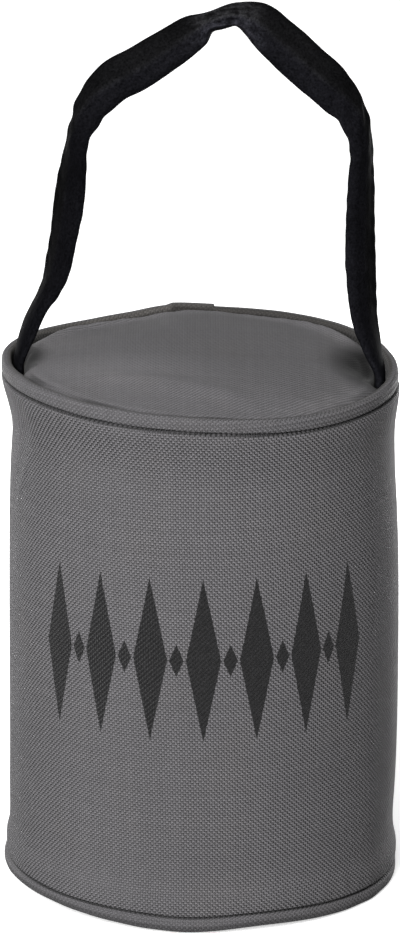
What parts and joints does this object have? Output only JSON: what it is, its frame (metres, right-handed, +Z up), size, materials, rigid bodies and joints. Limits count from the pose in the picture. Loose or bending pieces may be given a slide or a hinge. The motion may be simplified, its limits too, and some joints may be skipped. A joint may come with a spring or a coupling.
{
  "type": "fabric doorstop",
  "caption": "Soft weighted drum of plain-weave cloth with stitched flanges at the top and foot and a fabric carrying loop, which stands on the floor to hold a door open.",
  "frame": {"origin": "on the floor, under the middle of the drum", "axes": "+Z up, -Y towards the front, +X to the right seen from the front; the back seam is at +Y"},
  "size_m": [0.1414, 0.1417, 0.322],
  "materials": {
    "grey_cloth": "mid-grey plain weave, matt",
    "black_cloth": "black, soft short nap"
  },
  "bodies": {
    "root": {"side_panel": "grey_cloth", "top_panel": "grey_cloth", "base_panel": "grey_cloth", "handle": "black_cloth"}
  },
  "joints": []
}
